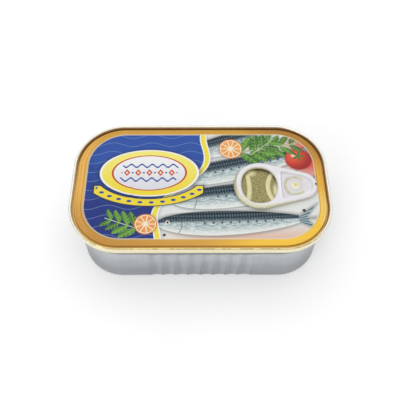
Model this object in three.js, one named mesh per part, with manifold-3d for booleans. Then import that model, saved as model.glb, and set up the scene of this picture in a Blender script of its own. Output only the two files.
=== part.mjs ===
// Flat sardine tin: a drawn aluminium can with fluted long walls, a printed lid seamed on, and a ring pull.
// Millimetres, +Z up, X along the long side. The origin is on the table, under the middle of the base.
import * as THREE from 'three';
import { mergeVertices } from 'three/addons/utils/BufferGeometryUtils.js';
import Module from 'manifold-3d';

const wasm = await Module();
wasm.setup();

// The tin's plan, which is the outer edge of the seam, and its height to the top of the seam.
const LENGTH = 105;
const DEPTH = 60;
const HEIGHT = 30;
const CORNER_RADIUS = 20.6;
const CORNER_STEPS = 9;

// The seam that folds the lid's edge over the can's edge, and the groove just inside it.
const SEAM_HEIGHT = 3.6;
const SEAM_THICKNESS = 1.2;
const SEAM_ROUND = 0.55;
const SEAM_STEPS = 3;
const GROOVE_WIDTH = 0.8;
const GROOVE_DEPTH = 2.3;
const SHEET = 0.6;

// The lid's gold border rises a little from the groove to the flat printed panel.
const BORDER_DROP = 0.85;
const PANEL_DROP = 0.6;
const PANEL_INSET = 4.7;
const SHOULDER = 0.35;
const SHOULDER_CORNER = 0.3;

// The gap between neighbouring pieces, and how close two points have to be to count as one.
const GAP = 0.3;
const WELD = 1e-4;

// The can's wall, given by how far it lies inside the seam's outer edge.
const WALL_INSET_TOP = 2.1;
const WALL_INSET_BASE = 2.3;
const WALL_CORNER_TOP = 19.9;
const WALL_CORNER_BASE = 17.6;
const BASE_BEND = 1.2;
const BASE_BEND_STEPS = 4;
const STAND_WIDTH = 2.6;
const BASE_RECESS = 0.6;

// Upright flutes on both long walls: narrow ribs stand out between shallow scallops.
const FLUTE_PITCH = 5.3;
const FLUTE_COUNT = 8;
const FLUTE_DEPTH = 0.45;
const FLUTE_STEPS = 4;

// The pull tab lies on the panel, its ring to the left and its nose near the right end.
const TAB_Y = -1.6;
const TAB_GAP = 0.35;
const TAB_THICKNESS = 1.6;
const TAB_EDGE = 0.6;
const TAB_EDGE_STEPS = 3;
const RING_X = 24.3;
const RING_RADIUS = 10.9;
const NOSE_X = 41.0;
const NOSE_RADIUS = 6.3;
const HOLE_X = 23.8;
const HOLE_HALF_LENGTH = 7.2;
const HOLE_HALF_WIDTH = 8.4;
const WEB_LEFT = 32.9;
const WEB_RIM = 2.3;
const WEB_CORNER = 1.6;
const WEB_THICKNESS = 0.5;
const NOTCH_HALF_WIDTH = 0.35;
const NOTCH_DEPTH = 0.6;

// The rivet is drawn up out of the lid's own metal. A C-shaped slot in the tab's web goes round it.
const RIVET_X = 38.4;
const RIVET_STEM_RADIUS = 1.4;
const RIVET_HOLE_RADIUS = 1.7;
const RIVET_HEAD_RADIUS = 2.3;
const RIVET_RIM_HEIGHT = 0.2;
const RIVET_DOME_RADIUS = 1.6;
const RIVET_DOME_HEIGHT = 0.42;
const RIVET_HEAD_HEIGHT = 0.5;
const SLOT_INNER_RADIUS = 3.75;
const SLOT_OUTER_RADIUS = 4.6;
const SLOT_OPENING = THREE.MathUtils.degToRad(40);

// Two pressed ribs stiffen the lid under the ring.
const RIB_HEIGHT = 0.25;
const RIB_WIDTH = 1.7;
const RIBS = [
  { x: 19.2, bow: 24, halfLength: 6.2 },
  { x: 27.6, bow: -11, halfLength: 6.4 },
];
const ARC_STEPS = 24;
const RIB_STEPS = 8;

const panelZ = HEIGHT - PANEL_DROP;
const seamBaseZ = HEIGHT - SEAM_HEIGHT;
const grooveZ = HEIGHT - GROOVE_DEPTH;
const undersideZ = grooveZ - SHEET;
const bodyTopZ = undersideZ - GAP;
const tabBaseZ = panelZ + TAB_GAP;
const webTopZ = tabBaseZ + WEB_THICKNESS;

// One rounded rectangle, counter-clockwise from above, that lies inset from the seam's outer edge.
function outline({ inset, z, radius = CORNER_RADIUS - inset, flute = null }) {
  const halfX = LENGTH / 2 - inset - radius;
  const halfY = DEPTH / 2 - inset - radius;
  const points = [];
  const corner = (centreX, centreY, startTurn) => {
    for (let i = 0; i <= CORNER_STEPS; i += 1) {
      const turn = (startTurn + i / CORNER_STEPS) * Math.PI / 2;
      const x = centreX + radius * Math.cos(turn);
      const y = centreY + radius * Math.sin(turn);
      points.push(new THREE.Vector3(x, y, z));
    }
  };
  const longSide = (side) => {
    if (flute === null) return;
    const steps = FLUTE_COUNT * FLUTE_STEPS;
    for (let i = 0; i <= steps; i += 1) {
      const along = (i / steps - 0.5) * FLUTE_COUNT * FLUTE_PITCH;
      const scallop = flute * Math.abs(Math.sin(Math.PI * along / FLUTE_PITCH));
      points.push(new THREE.Vector3(-side * along, side * (halfY + radius - scallop), z));
    }
  };
  corner(halfX, halfY, 0);
  longSide(1);
  corner(-halfX, halfY, 1);
  corner(-halfX, -halfY, 2);
  longSide(-1);
  corner(halfX, -halfY, 3);
  return points;
}

// A closed skin over a stack of outlines, with a flat cap on the first and on the last.
function loft(rings) {
  const count = rings[0].length;
  const positions = rings.flat().flatMap((p) => [p.x, p.y, p.z]);
  const triangles = [];
  for (let ring = 0; ring < rings.length - 1; ring += 1) {
    for (let i = 0; i < count; i += 1) {
      const a = ring * count + i;
      const b = ring * count + (i + 1) % count;
      triangles.push(a, b, b + count, a, b + count, a + count);
    }
  }
  const cap = (ring, up) => {
    const centre = positions.length / 3;
    positions.push(0, 0, rings[ring][0].z);
    for (let i = 0; i < count; i += 1) {
      const a = ring * count + i;
      const b = ring * count + (i + 1) % count;
      triangles.push(centre, up ? a : b, up ? b : a);
    }
  };
  cap(0, false);
  cap(rings.length - 1, true);
  const geometry = new THREE.BufferGeometry();
  geometry.setAttribute('position', new THREE.Float32BufferAttribute(positions, 3));
  geometry.setIndex(triangles);
  return geometry;
}

// Geometry to a solid that can be cut and joined, and back.
function solidOf(geometry) {
  const bare = geometry.clone();
  bare.deleteAttribute('normal');
  bare.deleteAttribute('uv');
  const merged = mergeVertices(bare, WELD);
  const mesh = new wasm.Mesh({
    numProp: 3,
    vertProperties: new Float32Array(merged.attributes.position.array),
    triVerts: new Uint32Array(merged.index.array),
  });
  return new wasm.Manifold(mesh);
}

function geometryOf(solid) {
  const mesh = solid.getMesh();
  const geometry = new THREE.BufferGeometry();
  geometry.setAttribute('position', new THREE.BufferAttribute(mesh.vertProperties, 3));
  geometry.setIndex(new THREE.BufferAttribute(mesh.triVerts, 1));
  geometry.computeVertexNormals();
  return geometry;
}

function extruded(shape, fromZ, toZ, options = {}) {
  const geometry = new THREE.ExtrudeGeometry(shape, {
    depth: toZ - fromZ,
    bevelEnabled: false,
    curveSegments: ARC_STEPS,
    ...options,
  });
  geometry.translate(0, 0, fromZ);
  return solidOf(geometry);
}

// The wall leans in towards the base, and its corners get tighter on the way down.
function wallRing(z, extraInset = 0) {
  const share = z / bodyTopZ;
  const lean = THREE.MathUtils.lerp(WALL_INSET_BASE, WALL_INSET_TOP, share);
  const inset = lean + extraInset;
  return outline({
    inset,
    z,
    radius: THREE.MathUtils.lerp(WALL_CORNER_BASE, WALL_CORNER_TOP, share) - extraInset,
    flute: FLUTE_DEPTH * (1 - extraInset / BASE_BEND),
  });
}

// The can and what it holds are one closed solid: a shallow recessed base inside a flat stand ring,
// a rounded bend, the fluted wall, and a top that follows the lid's underside with a small gap.
function canBody() {
  const standInset = WALL_INSET_BASE + BASE_BEND;
  const recessInset = standInset + STAND_WIDTH;
  const rings = [
    outline({ inset: recessInset + BASE_RECESS, z: BASE_RECESS, flute: 0 }),
    outline({ inset: recessInset, z: 0, flute: 0 }),
  ];
  for (let i = 0; i <= BASE_BEND_STEPS; i += 1) {
    const turn = i / BASE_BEND_STEPS * Math.PI / 2;
    rings.push(wallRing(BASE_BEND * (1 - Math.cos(turn)), BASE_BEND * (1 - Math.sin(turn))));
  }
  const grooveInset = SEAM_THICKNESS + GROOVE_WIDTH + SHEET + GAP;
  rings.push(wallRing(bodyTopZ));
  rings.push(outline({ inset: grooveInset, z: bodyTopZ, flute: 0 }));
  rings.push(outline({ inset: grooveInset + SHOULDER, z: panelZ - SHEET - GAP, flute: 0 }));
  return loft(rings);
}

// The lid's section from the middle of its underside out, round the seam, and back over the top:
// groove, rounded shoulder, gold border and flat panel.
function lidPlate() {
  const panelUnderZ = panelZ - SHEET;
  const grooveInner = SEAM_THICKNESS + GROOVE_WIDTH;
  const section = [
    [grooveInner + SHEET + SHOULDER, panelUnderZ],
    [grooveInner + SHEET, undersideZ],
    [WALL_INSET_TOP - GAP, undersideZ],
    [SEAM_THICKNESS, seamBaseZ],
    [SEAM_ROUND, seamBaseZ],
    [0, seamBaseZ + SEAM_ROUND],
  ];
  for (const side of [0, 1]) {
    for (let i = 0; i <= SEAM_STEPS; i += 1) {
      const turn = (side + i / SEAM_STEPS) * Math.PI / 2;
      const middle = side === 0 ? SEAM_ROUND : SEAM_THICKNESS - SEAM_ROUND;
      section.push([
        middle - SEAM_ROUND * Math.cos(turn),
        HEIGHT - SEAM_ROUND + SEAM_ROUND * Math.sin(turn),
      ]);
    }
  }
  section.push(
    [SEAM_THICKNESS, grooveZ],
    [grooveInner, grooveZ],
    [grooveInner, HEIGHT - BORDER_DROP - SHOULDER],
    [grooveInner + SHOULDER * SHOULDER_CORNER, HEIGHT - BORDER_DROP - SHOULDER * SHOULDER_CORNER],
    [grooveInner + SHOULDER, HEIGHT - BORDER_DROP],
    [PANEL_INSET, panelZ],
  );
  return loft(section.map(([inset, z]) => outline({ inset, z })));
}

// A pressed rib: a band along an arc whose bow gives the radius and the side of its centre.
function rib({ x, bow, halfLength }) {
  const radius = Math.abs(bow);
  const side = Math.sign(bow);
  const reach = Math.asin(halfLength / radius);
  const point = (r, turn) => new THREE.Vector2(
    x - side * radius + side * r * Math.cos(turn),
    TAB_Y + r * Math.sin(turn),
  );
  const band = [];
  for (let i = 0; i <= RIB_STEPS; i += 1) {
    band.push(point(radius + RIB_WIDTH / 2, reach * (2 * i / RIB_STEPS - 1)));
  }
  for (let i = RIB_STEPS; i >= 0; i -= 1) {
    band.push(point(radius - RIB_WIDTH / 2, reach * (2 * i / RIB_STEPS - 1)));
  }
  return extruded(new THREE.Shape(band), panelZ - SHEET / 2, panelZ + RIB_HEIGHT);
}

// The rivet: a stem through the web and a low domed head above it, turned as one profile.
function rivet() {
  const headZ = webTopZ + GAP;
  const profile = [
    [0, panelZ - SHEET / 2],
    [RIVET_STEM_RADIUS, panelZ - SHEET / 2],
    [RIVET_STEM_RADIUS, headZ],
    [RIVET_HEAD_RADIUS, headZ],
    [RIVET_HEAD_RADIUS, headZ + RIVET_RIM_HEIGHT],
    [RIVET_DOME_RADIUS, headZ + RIVET_DOME_HEIGHT],
    [0, headZ + RIVET_HEAD_HEIGHT],
  ].map(([r, z]) => new THREE.Vector2(r, z));
  const geometry = new THREE.LatheGeometry(profile, ARC_STEPS);
  geometry.rotateX(Math.PI / 2);
  geometry.translate(RIVET_X, TAB_Y, 0);
  return solidOf(geometry);
}

function lid() {
  let solid = solidOf(lidPlate()).add(rivet());
  for (const spec of RIBS) solid = solid.add(rib(spec));
  return geometryOf(solid);
}

// Half the angle, seen from either centre, at which straight sides leave the ring and meet the nose.
const tangentTurn = Math.acos((RING_RADIUS - NOSE_RADIUS) / (NOSE_X - RING_X));

// The tab's plan: a large ring and a small nose joined by straight sides, with the finger hole.
function tabShape() {
  const shape = new THREE.Shape();
  shape.absarc(RING_X, TAB_Y, RING_RADIUS, tangentTurn, 2 * Math.PI - tangentTurn, false);
  shape.absarc(NOSE_X, TAB_Y, NOSE_RADIUS, -tangentTurn, tangentTurn, false);
  const hole = new THREE.Path();
  hole.absellipse(HOLE_X, TAB_Y, HOLE_HALF_LENGTH, HOLE_HALF_WIDTH, 0, 2 * Math.PI, true);
  shape.holes.push(hole);
  return shape;
}

// The sunken web between ring and nose, which keeps a rim all round.
function webShape() {
  const noseRadius = NOSE_RADIUS - WEB_RIM;
  const slope = 1 / Math.tan(tangentTurn);
  const halfWidthAt = (x) => noseRadius / Math.sin(tangentTurn) + (NOSE_X - x) * slope;
  const cornerX = WEB_LEFT + WEB_CORNER;
  const left = halfWidthAt(WEB_LEFT);
  const shape = new THREE.Shape();
  shape.moveTo(WEB_LEFT, TAB_Y + left - WEB_CORNER);
  shape.lineTo(WEB_LEFT, TAB_Y - left + WEB_CORNER);
  shape.quadraticCurveTo(WEB_LEFT, TAB_Y - left, cornerX, TAB_Y - halfWidthAt(cornerX));
  shape.absarc(NOSE_X, TAB_Y, noseRadius, -tangentTurn, tangentTurn, false);
  shape.lineTo(cornerX, TAB_Y + halfWidthAt(cornerX));
  shape.quadraticCurveTo(WEB_LEFT, TAB_Y + left, WEB_LEFT, TAB_Y + left - WEB_CORNER);
  return shape;
}

function slotShape() {
  const shape = new THREE.Shape();
  const end = 2 * Math.PI - SLOT_OPENING;
  shape.absarc(RIVET_X, TAB_Y, SLOT_OUTER_RADIUS, SLOT_OPENING, end, false);
  shape.absarc(RIVET_X, TAB_Y, SLOT_INNER_RADIUS, end, SLOT_OPENING, true);
  return shape;
}

function circleShape(x, y, radius) {
  const shape = new THREE.Shape();
  shape.absarc(x, y, radius, 0, 2 * Math.PI, false);
  return shape;
}

function notchShape() {
  const tipX = NOSE_X + NOSE_RADIUS;
  return new THREE.Shape([
    new THREE.Vector2(tipX - NOTCH_DEPTH, TAB_Y),
    new THREE.Vector2(tipX + NOTCH_DEPTH, TAB_Y - 2 * NOTCH_HALF_WIDTH),
    new THREE.Vector2(tipX + NOTCH_DEPTH, TAB_Y + 2 * NOTCH_HALF_WIDTH),
  ]);
}

// The tab is curled sheet, so its edges are round. The web is cut down to a thin floor,
// through which go the slot, the rivet's hole and a small notch at the nose.
function pullTab() {
  const cut = HEIGHT + TAB_THICKNESS * 2;
  const blank = extruded(tabShape(), tabBaseZ + TAB_EDGE, tabBaseZ + TAB_THICKNESS - TAB_EDGE, {
    bevelEnabled: true,
    bevelThickness: TAB_EDGE,
    bevelSize: TAB_EDGE,
    bevelOffset: -TAB_EDGE,
    bevelSegments: TAB_EDGE_STEPS,
  });
  return geometryOf(blank
    .subtract(extruded(webShape(), webTopZ, cut))
    .subtract(extruded(slotShape(), panelZ, cut))
    .subtract(extruded(circleShape(RIVET_X, TAB_Y, RIVET_HOLE_RADIUS), panelZ, cut))
    .subtract(extruded(notchShape(), panelZ, cut)));
}

function piece(name, geometry, color, roughness, metalness) {
  const material = new THREE.MeshStandardMaterial({ color, roughness, metalness });
  const mesh = new THREE.Mesh(geometry, material);
  mesh.name = name;
  return mesh;
}

const tin = new THREE.Group();
tin.add(piece('can_body', canBody(), '#b2b7b9', 0.4, 0.9));
tin.add(piece('lid', lid(), '#e4b04a', 0.3, 0.7));
tin.add(piece('pull_tab', pullTab(), '#e9e7e8', 0.35, 0.2));

export default tin;
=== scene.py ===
"""A shut, flat sardine tin with round corners: fluted can, gold seamed lid, printed panel, white ring pull.

Sizes are in millimetres in the code and are turned into metres where a mesh is made. X runs along the tin, Y
to its rear and Z up, with the origin on the table under the middle of the tin.
"""
import math

import bpy
import numpy as np
from mathutils import Matrix, Vector


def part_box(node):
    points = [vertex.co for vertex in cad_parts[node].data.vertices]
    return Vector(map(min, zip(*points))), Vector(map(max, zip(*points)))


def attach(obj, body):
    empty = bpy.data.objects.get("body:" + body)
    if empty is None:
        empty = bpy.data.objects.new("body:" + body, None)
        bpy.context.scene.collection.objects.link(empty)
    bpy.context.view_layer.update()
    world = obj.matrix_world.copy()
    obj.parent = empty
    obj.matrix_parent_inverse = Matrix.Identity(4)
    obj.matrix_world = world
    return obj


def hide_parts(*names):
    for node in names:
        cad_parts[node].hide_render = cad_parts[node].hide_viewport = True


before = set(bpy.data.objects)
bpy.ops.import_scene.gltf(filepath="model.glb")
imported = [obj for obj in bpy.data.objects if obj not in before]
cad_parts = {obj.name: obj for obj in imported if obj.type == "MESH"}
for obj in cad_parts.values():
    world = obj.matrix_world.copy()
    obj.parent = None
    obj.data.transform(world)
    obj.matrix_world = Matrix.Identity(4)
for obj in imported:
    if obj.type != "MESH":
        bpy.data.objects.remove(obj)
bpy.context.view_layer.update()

MM = 0.001
WELD = 0.002
lid_low, lid_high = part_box("lid")
tab_low, tab_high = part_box("pull_tab")
LENGTH = (lid_high.x - lid_low.x) / MM
DEPTH = (lid_high.y - lid_low.y) / MM
CORNER_RADIUS = 20.6

# The lid's section. An inset is how far a point lies inside the seam's outer edge.
SEAM_BASE_Z = lid_low.z / MM
SEAM_HEIGHT = 3.6
HEIGHT = SEAM_BASE_Z + SEAM_HEIGHT
SEAM_THICKNESS = 1.2
SEAM_FOOT_RADIUS = 0.5
GROOVE_WIDTH = 0.8
GROOVE_Z = HEIGHT - 2.3
SHOULDER = 0.35
BORDER_Z = HEIGHT - 0.85
PANEL_Z = HEIGHT - 0.6
PANEL_INSET = 4.7
SCORE_INSET = 2.95
SCORE_DEPTH = 0.03
SHEET = 0.3

# The can's wall.
BODY_TOP_Z = SEAM_BASE_Z + 0.4
WALL_INSET_TOP = 2.1
WALL_INSET_BASE = 2.3
WALL_CORNER_TOP = 19.9
WALL_CORNER_BASE = 17.6
BASE_BEND = 1.2
STAND_WIDTH = 2.6
BASE_RECESS = 0.6
BASE_LINE_DEPTH = 0.12
FLUTE_PITCH = 5.3
FLUTE_REACH = 21.2
FLUTE_DEPTH = 0.45

# The pull tab: a ring and a nose joined by straight sides.
TAB_Y = -1.6
TAB_BASE_Z = tab_low.z / MM
TAB_TOP_Z = tab_high.z / MM
TAB_CURL = 0.95
RING_X = 24.3
RING_RADIUS = 10.9
NOSE_X = 41.0
NOSE_RADIUS = 6.3
HOLE_X = 23.8
HOLE_HALF_LENGTH = 7.2
HOLE_HALF_WIDTH = 8.4
HOLE_SQUARENESS = 2.25
HOLE_CURL = 0.7
BRIDGE_X = 32.2
WEB_LEFT = 32.9
WEB_RIM = 2.2
WEB_DEPTH = 0.95
WEB_LIP = 0.45
WEB_FILLET = 0.25
RIVET_X = 38.4
RIVET_HOLE = 1.75
# Where the painted shadow in the nose's notch lies.
TIP_SHADOW_SPOT = (46.6, -1.2)
NOTCH_DEPTH = 0.7
NOTCH_HALF_WIDTH = 0.6
SLOT_INNER = 3.7
SLOT_OUTER = 4.4
SLOT_OPENING = math.radians(40)
TANGENT = math.acos((RING_RADIUS - NOSE_RADIUS) / (NOSE_X - RING_X))

# How finely the surfaces are divided.
RIM_CORNER_STEPS = 40
PANEL_CORNER_ROWS = 44
PANEL_COLUMNS = 320
WALL_ROWS = 30
ALONG_X = np.linspace(0, 1, 96)[1:-1]
ALONG_Y = np.linspace(0, 1, 30)[1:-1]


def smooth(t):
    """Rises from 0 to 1 with t and with level ends: 3 t squared less 2 t cubed."""
    t = np.clip(t, 0.0, 1.0)
    return t * t * (3.0 - 2.0 * t)


def mesh_piece(name, points, quads, material):
    """A smooth mesh object from points in millimetres and an array of quads, with doubles merged. A quad that
    two merged corners leave with three sides becomes a triangle, and one with two sides is dropped."""
    points = np.asarray(points, float).reshape(-1, 3)
    keys = np.round(points / WELD).astype(np.int64)
    _, first, back = np.unique(keys, axis=0, return_index=True, return_inverse=True)
    quads = back.ravel()[quads]
    differs = quads != np.roll(quads, 1, axis=1)
    whole = quads[differs.all(1)]
    partial = [q[d].tolist() for q, d in zip(quads[~differs.all(1)], differs[~differs.all(1)])]
    faces = whole.tolist() + [f for f in partial if len(set(f)) == 3]
    mesh = bpy.data.meshes.new(name)
    mesh.from_pydata((points[first] * MM).tolist(), [], faces)
    mesh.polygons.foreach_set("use_smooth", np.ones(len(mesh.polygons), bool))
    mesh.update()
    mesh.materials.append(material)
    piece = bpy.data.objects.new(name, mesh)
    bpy.context.scene.collection.objects.link(piece)
    return piece


def grid_quads(rows, columns, closed_rows=False, closed_columns=False, start=0):
    """Quads of a grid of rows by columns points, numbered row by row from start."""
    i = np.arange(rows if closed_rows else rows - 1)
    j = np.arange(columns if closed_columns else columns - 1)
    i, j = np.meshgrid(i, j, indexing="ij")
    after = (i + 1) % rows
    beside = (j + 1) % columns
    corners = [i * columns + j, i * columns + beside, after * columns + beside, after * columns + j]
    return np.stack(corners, -1).reshape(-1, 4) + start


def at_height(outline, z):
    """An outline's points with their height."""
    return np.column_stack([outline, np.broadcast_to(z, len(outline))])


def round_outline(inset, radius, corner_steps, side_x, side_y):
    """A rounded rectangle, anticlockwise from above, and its outward normals: four arcs joined by straight
    sides. side_x and side_y are the places of points along the long and short sides, from 0 to 1."""
    half_x = LENGTH / 2 - inset - radius
    half_y = DEPTH / 2 - inset - radius
    turn = np.linspace(0, math.pi / 2, corner_steps + 1)
    points, normals = [], []
    for quarter, (sx, sy) in enumerate([(1, 1), (-1, 1), (-1, -1), (1, -1)]):
        angle = turn + quarter * math.pi / 2
        normal = np.stack([np.cos(angle), np.sin(angle)], -1)
        points.append(np.array([sx * half_x, sy * half_y]) + radius * normal)
        normals.append(normal)
        if quarter % 2 == 0:
            share, facing = side_x[:, None], np.array([0.0, sy])
            end = np.array([-sx * half_x, sy * (half_y + radius)])
        else:
            share, facing = side_y[:, None], np.array([float(sx), 0.0])
            end = np.array([sx * (half_x + radius), -sy * half_y])
        points.append(points[-1][-1] + (end - points[-1][-1]) * share)
        normals.append(np.tile(facing, (len(share), 1)))
    return np.concatenate(points), np.concatenate(normals)


def arc(centre, radius, from_deg, to_deg, steps):
    """Points on a circle's arc in the plane of a section, as (inset, z)."""
    angles = np.radians(np.linspace(from_deg, to_deg, steps + 1))
    return [(centre[0] + radius * math.cos(a), centre[1] + radius * math.sin(a)) for a in angles]


def lid_rim(material):
    """The lid's ring: the rolled seam, the groove and the gold border with its score line, as one closed
    section of (inset, z) carried round the plan. The seam's top is a half round and its foot curls in. The
    border rises evenly from the groove's shoulder to the panel."""
    section = [(1.0, SEAM_BASE_Z + 0.02)]
    foot = (SEAM_FOOT_RADIUS + 0.12, SEAM_BASE_Z + SEAM_FOOT_RADIUS)
    section += arc(foot, SEAM_FOOT_RADIUS, 270, 180, 8)
    section += [(0.05, SEAM_BASE_Z + 1.1), (0.0, SEAM_BASE_Z + 1.6)]
    crown = SEAM_THICKNESS / 2
    section += arc((crown, HEIGHT - crown), crown, 180, 0, 22)
    section += [(SEAM_THICKNESS + 0.03, HEIGHT - 1.2), (SEAM_THICKNESS + 0.06, HEIGHT - 1.8)]
    groove_end = SEAM_THICKNESS + GROOVE_WIDTH
    bottom_radius = (GROOVE_WIDTH - 0.12) / 2
    bottom = (groove_end - 0.04 - bottom_radius, GROOVE_Z + bottom_radius)
    section += arc(bottom, bottom_radius, 180, 360, 12)
    section += [(groove_end - 0.02, GROOVE_Z + 0.9)]
    border_start = groove_end + SHOULDER
    section += arc((border_start, BORDER_Z - SHOULDER), SHOULDER, 180, 97, 10)
    slope = (PANEL_Z - BORDER_Z) / (PANEL_INSET - border_start)
    on_border = [(-0.5, 0), (-0.12, 0), (-0.04, 1), (0.04, 1), (0.12, 0), (0.5, 0), (1.1, 0), (1.6, 0)]
    for from_score, in_score in on_border:
        inset = SCORE_INSET + from_score
        section.append((inset, BORDER_Z + slope * (inset - border_start) - in_score * SCORE_DEPTH))
    section += [(PANEL_INSET, PANEL_Z - 0.005), (PANEL_INSET + 0.35, PANEL_Z - 0.05)]
    section += [(PANEL_INSET + 0.35, PANEL_Z - SHEET), (groove_end + 0.5, BORDER_Z - SHEET)]
    section += [(groove_end + 0.3, GROOVE_Z - 0.25), (SEAM_THICKNESS + 0.2, GROOVE_Z - 0.35)]
    rows = []
    for inset, z in section:
        outline, _ = round_outline(inset, CORNER_RADIUS - inset, RIM_CORNER_STEPS, ALONG_X, ALONG_Y)
        rows.append(at_height(outline, z))
    quads = grid_quads(len(rows), len(rows[0]), closed_rows=True, closed_columns=True)
    return mesh_piece("lid_rim", np.concatenate(rows), quads, material)


# The two pressed ribs under the ring: the x of each one's middle, its arc's radius, below 0 where the arc's
# centre lies to the right, and half its length. Past RIGHT_RIB_END the right rib's circle comes round again.
RIBS = [(19.9, 24.0, 5.6), (27.4, -11.0, 6.6)]
RIGHT_RIB_END = RIBS[1][0] + 4
RIB_HEIGHT = 0.25
RIB_HALF_WIDTH = 1.15

# The bead on the left of the rivet's boss.
BOSS_BEAD_RADIUS = 7.6
BOSS_BEAD_HALF_WIDTH = 1.1
BOSS_BEAD_HEIGHT = 0.2


def rib_shares(x, y, root, top, absolute):
    """How fully a point lies on each pressed rib: 1 on its middle line, 0 at its side and less beyond. The
    square root, maximum and absolute value are given, so that one formula serves arrays and shader maths."""
    shares = []
    for middle, bow, half_length in RIBS:
        centre_x = middle - bow
        from_centre = root((x - centre_x) * (x - centre_x) + (y - TAB_Y) * (y - TAB_Y))
        off = absolute(from_centre - abs(bow))
        past = top(absolute(y - TAB_Y) - half_length, 0.0)
        shares.append(1.0 - root(off * off + past * past) / RIB_HALF_WIDTH)
    return shares


def panel_height(x, y):
    """How far the panel stands above its flat: two pressed ribs, and a bead left of the rivet's boss."""
    left, right = rib_shares(x, y, np.sqrt, np.maximum, np.abs)
    height = RIB_HEIGHT * np.maximum(smooth(left), smooth(right) * (x < RIGHT_RIB_END))
    from_bead = np.abs(np.hypot(x - RIVET_X, y - TAB_Y) - BOSS_BEAD_RADIUS)
    bead = smooth(1 - from_bead / BOSS_BEAD_HALF_WIDTH) * smooth((RIVET_X - 3 - x) / 3)
    return np.maximum(height, BOSS_BEAD_HEIGHT * bead)


def lid_panel(material):
    """The printed panel: a thin closed slab inside the border. Its top is a grid of rows, each as wide as the
    round plan is at its y, so that the corners stay round."""
    radius = CORNER_RADIUS - PANEL_INSET
    half_x = LENGTH / 2 - PANEL_INSET
    half_y = DEPTH / 2 - PANEL_INSET
    turn = np.linspace(math.pi / 2, 0, PANEL_CORNER_ROWS)
    upper = half_y - radius + radius * np.sin(turn)
    middle = np.linspace(half_y - radius, radius - half_y, PANEL_CORNER_ROWS)[1:-1]
    y = np.concatenate([upper, middle, -upper[::-1]])
    reach = np.maximum(np.abs(y) - (half_y - radius), 0)
    width = half_x - radius + np.sqrt(np.maximum(radius ** 2 - reach ** 2, 0))
    across = np.linspace(-1, 1, PANEL_COLUMNS)
    xx = width[:, None] * across
    yy = np.repeat(y[:, None], len(across), 1)
    top = np.stack([xx, yy, PANEL_Z + panel_height(xx, yy)], -1)
    bottom = np.stack([xx, yy, np.full_like(xx, PANEL_Z - SHEET)], -1)
    edge = np.concatenate([top[0, :-1], top[:-1, -1], top[-1, :0:-1], top[:0:-1, 0]])
    edge_low = edge * [1, 1, 0] + [0, 0, PANEL_Z - SHEET]
    rows, columns = xx.shape
    quads = np.concatenate([
        grid_quads(rows, columns)[:, ::-1],
        grid_quads(rows, columns, start=rows * columns),
        grid_quads(2, len(edge), closed_columns=True, start=2 * rows * columns),
    ])
    points = np.concatenate([top.reshape(-1, 3), bottom.reshape(-1, 3), edge, edge_low])
    return mesh_piece("lid_panel", points, quads, material)


def can_wall(material):
    """The drawn can: a profile of (inset, z) carried round the plan, from under the seam down the leaning
    wall, round the bend and over the stand ring to the recessed base. The wall's inset and corner radius
    change evenly with z. On both long walls the scallops between upright ribs are cut inward by their depth
    times the absolute sine of pi x over the pitch."""
    straight = LENGTH / 2 - WALL_INSET_TOP - WALL_CORNER_TOP
    fluted = np.linspace(-FLUTE_REACH, FLUTE_REACH, 16 * round(2 * FLUTE_REACH / FLUTE_PITCH) + 1)
    flat = np.linspace(FLUTE_REACH, straight, 14)[1:-1]
    places = np.concatenate([-flat[::-1], fluted, flat])

    def ring(inset, radius, z, flute):
        half_x = LENGTH / 2 - inset - radius
        side_x = (1 + places / straight) / 2
        side_x = np.where(np.abs(places) <= FLUTE_REACH, (1 + places / half_x) / 2, side_x)
        outline, normals = round_outline(inset, radius, RIM_CORNER_STEPS, side_x, ALONG_Y)
        x = outline[:, 0]
        on_flutes = (np.abs(normals[:, 0]) < 1e-9) & (np.abs(x) < FLUTE_REACH)
        cut = flute * np.abs(np.sin(math.pi * x / FLUTE_PITCH)) * on_flutes
        return at_height(outline - normals * cut[:, None], z)

    rows = []
    wall = [(0.0, z) for z in np.linspace(BODY_TOP_Z, BASE_BEND, WALL_ROWS)]
    bend = [(BASE_BEND - x, BASE_BEND - z) for x, z in arc((0, 0), BASE_BEND, 0, 90, 11)[1:]]
    for extra, z in wall + bend:
        share = z / BODY_TOP_Z
        lean = WALL_INSET_BASE + (WALL_INSET_TOP - WALL_INSET_BASE) * share
        radius = WALL_CORNER_BASE + (WALL_CORNER_TOP - WALL_CORNER_BASE) * share - extra
        rows.append(ring(lean + extra, radius, z, FLUTE_DEPTH * (1 - extra / BASE_BEND)))
    stand = WALL_INSET_BASE + BASE_BEND
    foot = stand + STAND_WIDTH
    line_z = BASE_RECESS - BASE_LINE_DEPTH
    base = [(stand + 0.8, 0.0), (foot, 0.0), (foot + 0.15, 0.05), (foot + 0.7, BASE_RECESS - 0.05)]
    base += [(foot + 0.9, BASE_RECESS), (foot + 3.2, BASE_RECESS), (foot + 3.5, line_z)]
    base += [(foot + 4.1, line_z), (foot + 4.4, BASE_RECESS), (foot + 7.0, BASE_RECESS)]
    for inset, z in base:
        rows.append(ring(inset, WALL_CORNER_BASE - (inset - WALL_INSET_BASE), z, 0.0))
    top_middle = np.tile([0.0, 0.0, BODY_TOP_Z], (len(rows[0]), 1))
    base_middle = np.tile([0.0, 0.0, BASE_RECESS], (len(rows[0]), 1))
    rows = [top_middle, *rows, base_middle]
    quads = grid_quads(len(rows), len(rows[0]), closed_columns=True)[:, ::-1]
    return mesh_piece("can_wall", np.concatenate(rows), quads, material)


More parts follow.
